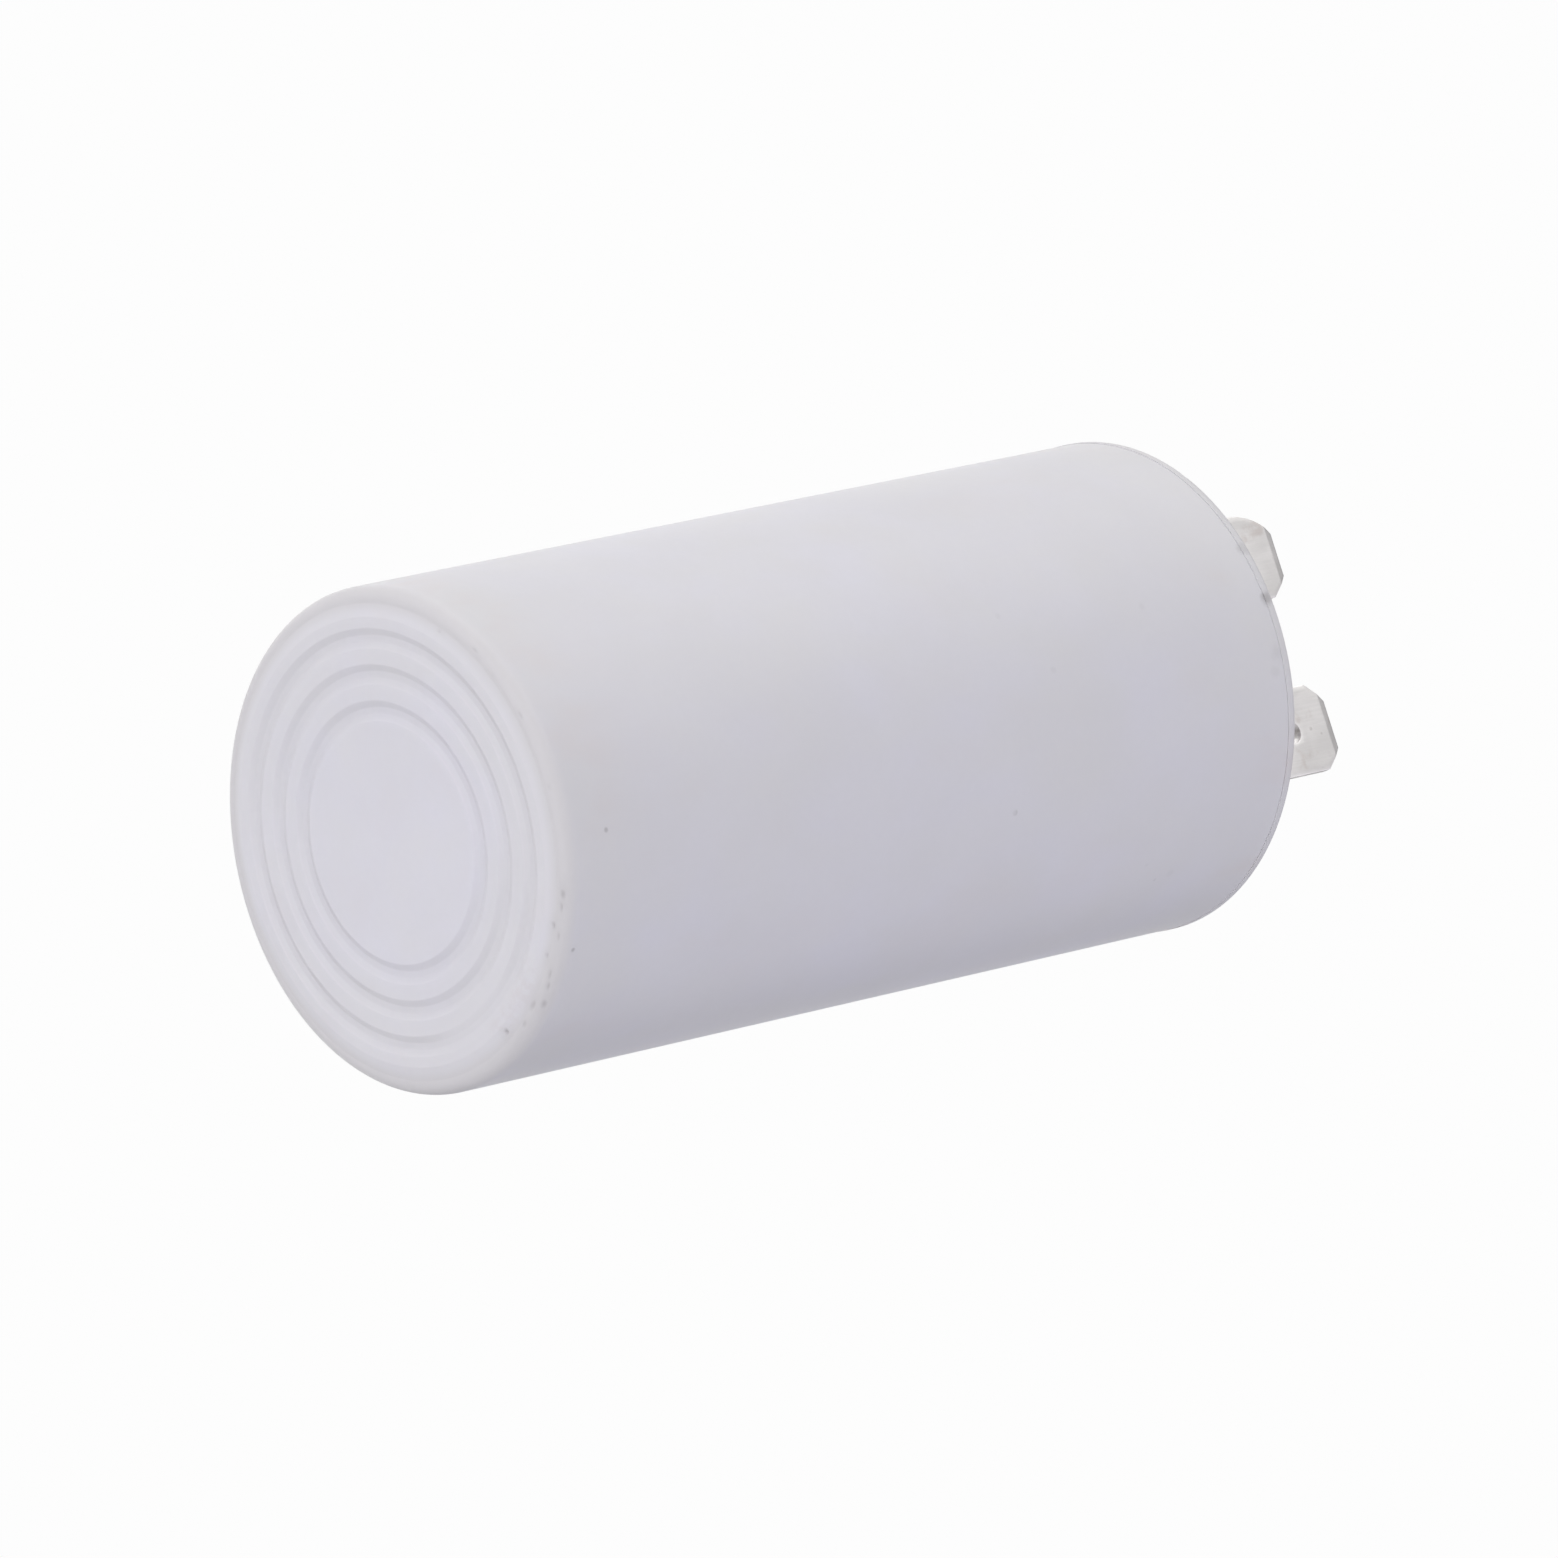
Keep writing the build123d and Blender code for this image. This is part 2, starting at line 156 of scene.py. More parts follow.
def slab(centre, size, turn):
    """Eight corners and six faces of a plain block turned about Z, faces outwards."""
    signs = np.array([[x, y, z] for z in (-1, 1) for x, y in ((-1, -1), (1, -1), (1, 1), (-1, 1))])
    x, y, z = (signs * np.asarray(size) / 2).T
    corners = np.stack([x * math.cos(turn) - y * math.sin(turn), x * math.sin(turn) + y * math.cos(turn), z])
    faces = [[3, 2, 1, 0], [4, 5, 6, 7], [0, 1, 5, 4], [1, 2, 6, 5], [2, 3, 7, 6], [3, 0, 4, 7]]
    return corners.T + centre, np.array(faces)


def merged_copy(node_name, name, sharp_angle=math.radians(32)):
    """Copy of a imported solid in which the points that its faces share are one, shaded flat across sharp edges."""
    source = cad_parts[node_name]
    mesh = source.data
    mesh.calc_loop_triangles()
    places = np.empty(len(mesh.vertices) * 3, np.float32)
    mesh.vertices.foreach_get("co", places)
    triangles = np.empty(len(mesh.loop_triangles) * 3, np.int32)
    mesh.loop_triangles.foreach_get("vertices", triangles)
    turn = np.array(source.matrix_world)
    places = places.reshape(-1, 3) @ turn[:3, :3].T + turn[:3, 3]
    _, first, shared = np.unique(np.round(places / (0.001 * MM)), axis=0, return_index=True, return_inverse=True)
    triangles = shared.ravel()[triangles].reshape(-1, 3)
    proper = (triangles != np.roll(triangles, 1, axis=1)).all(axis=1)
    piece = new_piece(name, places[first], [triangles[proper]])
    piece.data.set_sharp_from_angle(angle=sharp_angle)
    return piece


def add_attribute(piece, name, values):
    """Store one number for each point of the piece."""
    layer = piece.data.attributes.new(name, "FLOAT", "POINT")
    layer.data.foreach_set("value", np.asarray(values, np.float32))


# ---------------------------------------------------------------- shader maths
class Signal:
    """A number on its way through a node tree. Arithmetic on signals adds Math nodes."""

    def __init__(self, finish, socket):
        self.finish = finish
        self.socket = socket

    def math(self, operation, *values, clamp=False):
        settings = {"operation": operation, "use_clamp": clamp}
        return self.finish.node("ShaderNodeMath", settings, dict(enumerate(values)))

    def __add__(self, other):
        return self.math("ADD", self, other)

    def __sub__(self, other):
        return self.math("SUBTRACT", self, other)

    def __mul__(self, other):
        return self.math("MULTIPLY", self, other)

    def __truediv__(self, other):
        return self.math("DIVIDE", self, other)

    def __pow__(self, other):
        return self.math("POWER", self, other)

    def __radd__(self, other):
        return self.math("ADD", other, self)

    def __rsub__(self, other):
        return self.math("SUBTRACT", other, self)

    def __rmul__(self, other):
        return self.math("MULTIPLY", other, self)

    def __rtruediv__(self, other):
        return self.math("DIVIDE", other, self)

    def clamped(self):
        return self.math("ADD", self, 0, clamp=True)

    def most(self, other):
        return self.math("MAXIMUM", self, other)

    def between(self, low, high):
        """0 below low, 1 above high and a smooth rise between them; low may be the larger of the two."""
        settings = {"interpolation_type": "SMOOTHSTEP"}
        values = {"Value": self, "From Min": low, "From Max": high, "To Min": 0, "To Max": 1}
        return self.finish.node("ShaderNodeMapRange", settings, values)


class Finish:
    """One material, or the world, under construction: a node tree and a few shorthands for its nodes."""

    def __init__(self, name, library=bpy.data.materials):
        self.material = library.new(name)
        self.material.use_nodes = True
        self.tree = self.material.node_tree
        self.tree.nodes.clear()

    def node(self, kind, settings=None, values=None, output=0):
        """Add a node: its settings first, a ramp's stops among them, then its socket values or links."""
        node = self.tree.nodes.new(kind)
        for key, value in (settings or {}).items():
            if key == "stops":
                self.set_stops(node.color_ramp, value)
            else:
                setattr(node, key, value)
        for key, value in (values or {}).items():
            socket = node.inputs[key]
            if isinstance(value, Signal):
                self.tree.links.new(value.socket, socket)
            else:
                socket.default_value = value
        return Signal(self, node.outputs[output]) if len(node.outputs) else node

    @staticmethod
    def set_stops(ramp, stops):
        while len(ramp.elements) < len(stops):
            ramp.elements.new(1)
        for element, (place, colour) in zip(ramp.elements, stops):
            element.position = place
            element.color = colour

    def places(self):
        """Object coordinates in millimetres."""
        raw = self.node("ShaderNodeTexCoord", output="Object")
        return self.node("ShaderNodeVectorMath", {"operation": "SCALE"}, {"Vector": raw, "Scale": 1 / MM})

    def stretched(self, vector, factors):
        settings = {"operation": "MULTIPLY"}
        return self.node("ShaderNodeVectorMath", settings, {0: vector, 1: factors})

    def axis(self, vector, name):
        return self.node("ShaderNodeSeparateXYZ", values={0: vector}, output=name)

    def distance(self, vector, point):
        settings = {"operation": "DISTANCE"}
        return self.node("ShaderNodeVectorMath", settings, {0: vector, 1: point}, output="Value")

    def noise(self, vector, scale, detail=3.0, roughness=0.5, distortion=0.0):
        """Soft noise from 0 to 1; the scale is in waves per millimetre."""
        values = {"Vector": vector, "Scale": scale, "Detail": detail, "Roughness": roughness}
        values["Distortion"] = distortion
        return self.node("ShaderNodeTexNoise", values=values)

    def cells(self, vector, scale, randomness=1.0):
        """Distance to the nearest of many scattered points, in cells."""
        values = {"Vector": vector, "Scale": scale, "Randomness": randomness}
        return self.node("ShaderNodeTexVoronoi", values=values)

    def attribute(self, name):
        return self.node("ShaderNodeAttribute", {"attribute_name": name}, output="Fac")

    def mix(self, share, first, second):
        """Colour between two colours, by a share from 0 to 1."""
        settings = {"data_type": "RGBA", "clamp_factor": True}
        return self.node("ShaderNodeMix", settings, {0: share, 6: first, 7: second}, output=2)

    def bump(self, height, strength, distance, normal=None):
        """Normal from a height signal; the distance is the height of 1, in metres."""
        values = {"Height": height, "Strength": strength, "Distance": distance}
        if normal is not None:
            values["Normal"] = normal
        return self.node("ShaderNodeBump", values=values)

    def surface(self, values):
        """The Principled shader and the output: the end of a finish."""
        shader = self.node("ShaderNodeBsdfPrincipled", values=values)
        self.node("ShaderNodeOutputMaterial", values={"Surface": shader})
        return self.material


def opaque(colour):
    """A colour property with full alpha, for a shader socket."""
    return (*colour[:3], 1.0)


def shade(colour, factor):
    """The same colour, lighter or darker."""
    return (*(min(1.0, part * factor) for part in colour[:3]), 1.0)


# ---------------------------------------------------------------- finishes
def moulded_plastic(name, colour, neutral, warm, roughness, marked):
    """Semi-matte moulding: cloudy lilac white, neutral near the rims, warm stains, few specks, fine orange peel.

    On the case, the nicks and the ground round them are darker, the grooves get a faint painted shade, small
    dark spots sit where SPOTS says, the rim's rounding is darker as rubbed wear and painted shade, and the smear
    is rough and slightly warm.
    """
    finish = Finish(name)
    places = finish.places()
    height = finish.axis(places, "Z")
    radius = finish.distance(finish.stretched(places, (1, 1, 0)), (0, 0, 0))
    cloud = finish.noise(places, 0.11, detail=4.0, distortion=0.4)
    patches = finish.noise(finish.stretched(places, (1, 1, 0.6)), 0.16, detail=2.0)
    fine = finish.noise(places, 1.6, detail=3.0)
    stain = finish.noise(finish.stretched(places, (0.5, 0.5, 0.25)), 0.35, detail=3.0).between(0.50, 0.72)
    speck_field = finish.cells(places, 0.11)
    specks = speck_field.between(0.034, 0.016) * finish.noise(places, 0.3).between(0.45, 0.6)
    inward = radius.between(15.0, 8.0).most(height.between(2.5, 9.0) * height.between(67.5, 60.0))
    lilac = inward * 0.7 + (patches - 0.5) * 2.4
    base = finish.mix(lilac.clamped(), opaque(neutral), opaque(colour))
    base = finish.mix(cloud.between(0.3, 0.7) * 0.5, base, shade(neutral, 0.965))
    near_rim = height.between(0.3, 2.0) * height.between(7.0, 3.0) + height.between(63.0, 66.0)
    base = finish.mix(stain * (0.15 + 0.35 * near_rim), base, opaque(warm))
    base = finish.mix(fine.between(0.35, 0.65) * 0.10, base, shade(colour, 0.94))
    base = finish.mix(specks * 0.4, base, shade(warm, 0.45))
    scuff = finish.noise(finish.stretched(places, (0.4, 0.4, 2.2)), 1.1, detail=5.0, roughness=0.65)
    rough = roughness + 0.10 * (cloud - 0.5) + 0.12 * (scuff - 0.5)
    peel = finish.noise(places, 2.4, detail=2.0)
    sink = finish.noise(places, 0.22, detail=1.0)
    relief = peel * 0.35 + scuff * 0.25 + sink * 1.6
    if marked:
        smear = finish.attribute("smear")
        torn = finish.noise(places, 1.3, detail=4.0, roughness=0.6)
        base = finish.mix((smear * torn.between(0.4, 0.65)) * 0.35, base, shade(warm, 0.93))
        relief = relief + smear * torn * 4.0
        rough = rough + smear * 0.1
        # Rim rounding painted darker: partly rubbed wear, partly painted shade over the bright band the lamps give it
        rubbed_and_shaded = radius.between(15.6, 16.6) * height.between(1.3, 0.5) * (0.75 + 0.5 * torn).clamped()
        base = finish.mix(rubbed_and_shaded, base, (0.672, 0.655, 0.655, 1))
        # Darker colour in the nicks and round them, and painted shade in the grooves
        grime = finish.attribute("grime")
        base = finish.mix((grime * (0.7 + 0.6 * fine)).clamped(), base, shade(warm, 0.42))
    for angle, level, size, strength in SPOTS:
        turn = math.radians(angle)
        centre = (case_high.x / MM * math.cos(turn), case_high.x / MM * math.sin(turn), level)
        near = (finish.distance(places, centre) + (fine - 0.5) * size).between(size, 0.25 * size)
        base = finish.mix(near * strength, base, shade(warm, 0.4))
    return finish.surface({
        "Base Color": base,
        "Roughness": rough,
        "IOR": 1.45,
        "Normal": finish.bump(relief, 0.5, 0.02 * MM),
    })


def tin_plate(name, colour, stain_colour, roughness, along):
    """Dull tin on rolled strip: fine drawing lines along the strip, dark handling spots, brown edge stains."""
    finish = Finish(name)
    places = finish.places()
    lines = finish.noise(finish.stretched(places, along), 1.4, detail=4.0, roughness=0.6)
    cloud = finish.noise(places, 0.35, detail=4.0, distortion=0.6)
    spots = finish.cells(places, 0.9).between(0.2, 0.08) * finish.noise(places, 0.5).between(0.5, 0.62)
    pits = finish.noise(places, 6.0, detail=2.0)
    base = finish.mix(cloud.between(0.35, 0.7), shade(colour, 0.93), shade(colour, 1.03))
    base = finish.mix(lines.between(0.3, 0.75) * 0.35, base, shade(colour, 0.82))
    base = finish.mix(finish.noise(places, 0.55, detail=5.0).between(0.58, 0.72) * 0.4, base, opaque(stain_colour))
    base = finish.mix(spots * 0.45, base, shade(stain_colour, 0.5))
    rough = roughness + 0.16 * (cloud - 0.5) + 0.12 * (lines - 0.5) + 0.1 * spots
    normal = finish.bump(lines * 0.6 + pits * 0.3, 0.35, 0.012 * MM)
    return finish.surface({
        "Base Color": base,
        "Metallic": 1.0,
        "Roughness": rough,
        "Normal": normal,
    })


def wound_film(name, colour, turn):
    """Metallised film seen on edge or on its outer turn: fine ring lines and a silvery, uneven shade."""
    finish = Finish(name)
    places = finish.places()
    across = finish.stretched(places, (1, 1, 0))
    radius = finish.distance(across, (0, 0, 0))
    wobble = finish.noise(places, 0.25, detail=2.0)
    rings = ((radius / turn + wobble * 1.5).math("SINE", (radius / turn + wobble * 1.5) * math.tau) + 1) * 0.5
    base = finish.mix(rings, shade(colour, 0.8), shade(colour, 1.1))
    rough = 0.32 + 0.15 * wobble
    normal = finish.bump(rings, 0.3, 0.02 * MM)
    return finish.surface({"Base Color": base, "Metallic": 0.6, "Roughness": rough, "Normal": normal})


def plain_polymer(name, colour, roughness, coat, grain):
    """Extruded or cast polymer: cloudy colour, fine grain and a soft shine."""
    finish = Finish(name)
    places = finish.places()
    cloud = finish.noise(places, 0.3, detail=3.0)
    fine = finish.noise(places, grain, detail=3.0)
    base = finish.mix(cloud, shade(colour, 0.85), shade(colour, 1.15))
    rough = roughness + 0.14 * (fine - 0.5)
    normal = finish.bump(fine, 0.3, 0.02 * MM)
    values = {"Base Color": base, "Roughness": rough, "Coat Weight": coat, "Normal": normal}
    return finish.surface(values)


def soft_metal(name, colour, roughness, grain, depth):
    """Sprayed or melted metal: grains or ripples in its height, and a shade that follows them."""
    finish = Finish(name)
    places = finish.places()
    lumps = finish.noise(places, grain, detail=4.0, roughness=0.6)
    cloud = finish.noise(places, 0.4, detail=2.0)
    base = finish.mix(lumps, shade(colour, 0.75), shade(colour, 1.15))
    rough = roughness + 0.2 * (lumps - 0.5) + 0.1 * (cloud - 0.5)
    normal = finish.bump(lumps, 0.7, depth)
    return finish.surface({"Base Color": base, "Metallic": 0.9, "Roughness": rough, "Normal": normal})


def dress(material, *names):
    """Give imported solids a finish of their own."""
    for name in names:
        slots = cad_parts[name].data.materials
        slots.clear()
        slots.append(material)


# ---------------------------------------------------------------- settings
def length(name, description, default):
    return FloatProperty(name=name, description=description, default=default, min=0.0, unit="LENGTH", precision=5)


def tint(name, description, default):
    return FloatVectorProperty(
        name=name, description=description, default=default, size=3, min=0.0, max=1.0, subtype="COLOR"
    )


def share(name, description, default):
    return FloatProperty(name=name, description=description, default=default, min=0.0, max=1.0, subtype="FACTOR")


class CaseSettings(PropertyGroup):
    """Sizes and colours of the moulded case."""

    wall: length("Wall", "Thickness of the case's wall", 1.6 * MM)
    floor: length("Floor", "Thickness of the closed end", 2.2 * MM)
    edge_radius: length("Edge radius", "Rounding between the closed end and the wall", 0.95 * MM)
    step_radius: length("Step radius", "The closed end stands proud inside this radius", 15.45 * MM)
    step_width: length("Step width", "Width of the slope from there out to the rim", 0.95 * MM)
    step_height: length("Step height", "How far the rim steps back", 0.25 * MM)
    corner_bevel: length("Inner bevel", "Bevel in the corner inside", 0.9 * MM)
    mouth_chamfer: length("Mouth chamfer", "Broken edge at the mouth", 0.03 * MM)
    groove_outer_radius: length("Outer groove", "Radius of the outer ring groove", 14.0 * MM)
    groove_pitch: length("Groove pitch", "Distance between two ring grooves", 2.47 * MM)
    groove_width: length("Groove width", "Width of a groove at the face", 1.4 * MM)
    groove_bottom: length("Groove bottom", "Width of a groove's flat bottom", 0.45 * MM)
    groove_depth: length("Groove depth", "Depth of a ring groove", 0.24 * MM)
    groove_count: IntProperty(name="Grooves", description="Number of ring grooves", default=3, min=0, max=5)
    rib_count: IntProperty(name="Ribs", description="Standing ribs inside", default=4, min=0, max=12)
    rib_height: length("Rib height", "Height of a rib above the floor", 3.2 * MM)
    rib_thickness: length("Rib thickness", "Thickness of a rib", 1.2 * MM)
    rib_inner_radius: length("Rib reach", "Radius at which a rib ends", 10.2 * MM)
    rib_root: length("Rib root", "How deep a rib stands in the floor and the wall", 0.5 * MM)
    colour: tint("Plastic", "Colour of the case", (0.738, 0.727, 0.775))
    neutral: tint("Neutral", "Colour near the rims and in patches", (0.742, 0.730, 0.742))
    warm: tint("Stain", "Colour of the handling stains", (0.72, 0.675, 0.675))
    roughness: share("Roughness", "Roughness of the moulded surface", 0.52)


class LidSettings(PropertyGroup):
    """Colours of the lid."""

    colour: tint("Plastic", "Colour of the lid", (0.735, 0.722, 0.745))
    neutral: tint("Neutral", "Colour in patches", (0.735, 0.722, 0.730))
    warm: tint("Stain", "Colour of the handling stains", (0.70, 0.64, 0.63))
    roughness: share("Roughness", "Roughness of the moulded surface", 0.58)


class MetalSettings(PropertyGroup):
    """Colours of the terminals, rivets and lugs."""

    plate: tint("Tin plate", "Colour of the tinned strip", (0.735, 0.715, 0.710))
    stain: tint("Stain", "Brownish stain on the strip", (0.47, 0.40, 0.37))
    sheet: length("Sheet", "Thickness of the strip", 0.8 * MM)
    base_width: length("Base width", "Width of the strip at the base", 7.4 * MM)
    tab_width: length("Tab width", "Width of a tab", 6.3 * MM)
    tab_length: length("Tab length", "From the shoulder to the tip", 8.1 * MM)
    tip_height: length("Tip height", "Height of the tips", 83.3 * MM)
    blade_place: length("Blade place", "Middle of a blade from the rivet's axis", 4.4 * MM)
    bend_radius: length("Bend radius", "Inside radius of the bends", 0.7 * MM)
    cut_width: length("Cut width", "Width of the cut at a tip's corner", 1.4 * MM)
    cut_height: length("Cut height", "Height of the cut at a tip's corner", 1.6 * MM)
    tip_taper: length("Tip taper", "How far the tip's bevels reach down", 0.65 * MM)
    tip_thickness: length("Tip thickness", "Thickness at the tip", 0.36 * MM)
    rivet_radius: length("Rivet hole", "Radius of the hole in the base", 1.55 * MM)
    rivet_square: length("Rivet square", "Half side of the mesh block round the rivet's hole", 2.1 * MM)
    latch_radius: length("Latch hole", "Radius of the hole in a tab", 0.8 * MM)
    latch_square: length("Latch square", "Half side of the mesh block round a latch hole", 1.7877 * MM)
    latch_drop: length("Latch drop", "From the tip down to the latch hole", 4.1 * MM)
    edge_break: length("Edge break", "Rounding of the strip's edges", 0.06 * MM)
    rivet: tint("Rivet", "Colour of the rivets", (0.62, 0.60, 0.57))
    roughness: share("Roughness", "Roughness of the tinned strip", 0.42)


class InsideSettings(PropertyGroup):
    """Colours of what the case holds."""

    film: tint("Film", "Colour of the metallised film", (0.55, 0.57, 0.60))
    wrap: tint("Wrap", "Colour of the outer wrap", (0.80, 0.78, 0.70))
    core: tint("Core", "Colour of the core tube", (0.25, 0.25, 0.27))
    spray: tint("Sprayed metal", "Colour of the end contacts", (0.45, 0.46, 0.48))
    copper: tint("Copper", "Colour of the conductors", (0.72, 0.40, 0.25))
    sleeve: tint("Sleeve", "Colour of the insulation", (0.55, 0.08, 0.07))
    solder: tint("Solder", "Colour of the solder", (0.60, 0.61, 0.63))
    resin: tint("Resin", "Colour of the cast resin", (0.05, 0.05, 0.06))


class StageSettings(PropertyGroup):
    """Camera, lamps, world and floor."""

    distance: length("Distance", "Distance of the camera from the middle of the case", 1.0115)
    heading: FloatProperty(
        name="Heading", description="Direction of the camera, from +X towards +Y",
        default=math.radians(7.80), subtype="ANGLE",
    )
    elevation: FloatProperty(
        name="Elevation", description="Height of the camera above the horizon",
        default=math.radians(-41.71), subtype="ANGLE",
    )
    roll: FloatProperty(
        name="Roll", description="Turn of the camera about its line of sight",
        default=math.radians(77.84), subtype="ANGLE",
    )
    lens: FloatProperty(name="Lens", description="Focal length", default=337.587, unit="CAMERA")
    background: share("Background", "Brightness of the white background", 0.982)
    upper_loss: share("Upper loss", "What the mirrored white lacks above the horizon", 0.26)
    overhead_loss: share("Overhead loss", "What it lacks more straight overhead", 0.22)
    shaded_heading: FloatProperty(
        name="Shaded heading", description="Direction of the shaded side, from +X towards +Y",
        default=math.radians(170), subtype="ANGLE",
    )
    shaded_elevation: FloatProperty(
        name="Shaded elevation", description="Height of the shaded side above the horizon",
        default=math.radians(42), subtype="ANGLE",
    )
    shaded_depth: share("Shaded depth", "How much of the mirrored white the shaded side lacks", 0.97)
    ambient: tint("Ambient", "Light of the world on the object", (0.25, 0.25, 0.265))
    floor_glow: share("Floor glow", "Light of the floor's own, seen from above only", 0.25)
    lamp_distance: length("Lamp distance", "Distance of the lamps", 1.4)
    warm_lamp: tint("Key colour", "Colour of the key lamp", (1.0, 1.0, 0.98))
    cool_lamp: tint("End colour", "Colour of the lamp at the closed end", (0.95, 0.95, 1.0))
    side_lamp: tint("Side colour", "Colour of the lamp at the side", (0.89, 0.885, 1.0))


# ---------------------------------------------------------------- case
# Nicks in the rim of the closed end: (angle in degrees, place, half length, half width, depth), lengths in mm.
# The place is how far out along the rim's surface the nick is, from the edge of the face that stands proud.
NICKS = (
    (28, 1.5, 0.48, 0.13, 0.20),
    (31, 1.4, 0.40, 0.10, 0.13),
    (36, 0.9, 0.30, 0.14, 0.12),
    (38, 1.4, 0.40, 0.10, 0.09),
    (44, 0.8, 0.28, 0.12, 0.11),
    (48, 1.4, 0.50, 0.12, 0.10),
    (51, 1.6, 0.40, 0.13, 0.12),
    (56, 1.8, 0.50, 0.16, 0.14),
    (58, 1.1, 0.60, 0.22, 0.08),
    (64, 1.2, 0.45, 0.18, 0.07),
    (70, 0.5, 0.26, 0.20, 0.20),
    (3, 1.5, 0.40, 0.10, 0.06),
    (-15, 1.4, 0.40, 0.10, 0.07),
    (-27, 1.2, 0.30, 0.10, 0.06),
    (-35, 1.4, 0.40, 0.10, 0.06),
    (-47, 0.7, 0.25, 0.10, 0.05),
    (41, 2.7, 0.16, 0.14, 0.07),
)
# Small dark spots on the wall and at the mouth: (angle in degrees, height in mm, radius in mm, strength)
SPOTS = (
    (15, 4.0, 0.26, 0.42),
    (41, 1.25, 0.22, 0.35),
    (-5, 68.5, 0.70, 0.50),
    (-18, 68.5, 0.70, 0.22),
    (12, 67.5, 0.60, 0.08),
    (8, 68.0, 0.80, 0.10),
    (1, 47.0, 0.35, 0.07),
    (-14, 44.0, 0.35, 0.06),
    (58, 59.5, 0.50, 0.06),
    (-9, 57.0, 0.40, 0.06),
)


def nick_depth(points, outline, step_radius):
    """Depth of the nicks at each point, and how near a nick is, from 0 to 1.

    A nick's middle lies on the outline, its place beyond the step radius as measured along the outline.

    For each nick the depth is its depth times (1 - q) to the power 1.5 where q < 1, and the nearness is
    1 - q / 12 where q < 12. q is the squared distance along the rim over the half length, plus the squared
    distance across it over the half width.
    """
    depth = np.zeros(points.shape[:-1])
    near = np.zeros(points.shape[:-1])
    travelled = np.concatenate([[0], np.cumsum(np.linalg.norm(np.diff(outline, axis=0), axis=1))])
    at_wall = np.argmax(outline[:, 0] > case_high.x - 1e-7)
    start = np.interp(step_radius, outline[:at_wall, 0], travelled[:at_wall])
    for angle, place, half_length, half_width, deepest in NICKS:
        turn = math.radians(angle)
        radius, height = (np.interp(start + place * MM, travelled, axis) for axis in outline.T)
        around = np.array([-math.sin(turn), math.cos(turn), 0])
        centre = np.array([radius * math.cos(turn), radius * math.sin(turn), height])
        offset = points - centre
        along = offset @ around
        across = (offset ** 2).sum(axis=-1) - along ** 2
        q = (along / (half_length * MM)) ** 2 + across / (half_width * MM) ** 2
        depth = np.maximum(depth, deepest * MM * np.clip(1 - q, 0, 1) ** 1.5)
        near = np.maximum(near, deepest / 0.2 * np.clip(1 - q / 12, 0, 1))
    return depth, near


def case_outline(settings):
    """Outline of the cup, from the axis under the closed end, round the wall and the mouth, to the axis inside.

    Its rows are closest at the rim of the closed end, where the nicks are.
    """
    radius, height = case_high.x, case_high.z
    inner = radius - settings.wall
    corners, radii, steps = [(0, 0)], [], []
    for index in reversed(range(settings.groove_count)):
        middle = settings.groove_outer_radius - index * settings.groove_pitch
        for offset, level in ((-settings.groove_width, 0), (-settings.groove_bottom, 1),
                              (settings.groove_bottom, 1), (settings.groove_width, 0)):
            corners.append((middle + offset / 2, level * settings.groove_depth))
            radii.append(0.15 * MM)
            steps.append(2)
    corners += [
        (settings.step_radius, 0),
        (settings.step_radius + settings.step_width, settings.step_height),
        (radius, settings.step_height),
        (radius, height - settings.mouth_chamfer),
        (radius - settings.mouth_chamfer, height),
        (inner, height),
        (inner, settings.floor + settings.corner_bevel),
        (inner - settings.corner_bevel, settings.floor),
        (0, settings.floor),
    ]
    radii += [0.4 * MM, 0.3 * MM, settings.edge_radius] + [0.004 * MM] * 2 + [0.02 * MM] * 3
    steps += [3, 3, 10] + [1] * 5
    outline = rounded_line(corners, radii, steps)
    lower_wall = np.argmax((outline[:, 0] > radius - 1e-7) & (outline[:, 1] > settings.step_height)) + 1
    outline = np.insert(outline, lower_wall + 1, (radius, 2.0 * MM), axis=0)
    middles = (outline[1:] + outline[:-1]) / 2
    at_rim = (middles[:, 0] > settings.step_radius - 0.1 * MM) & (middles[:, 1] < 2.0 * MM)
    return divided(outline, np.where(at_rim, 0.14 * MM, 4.5 * MM))


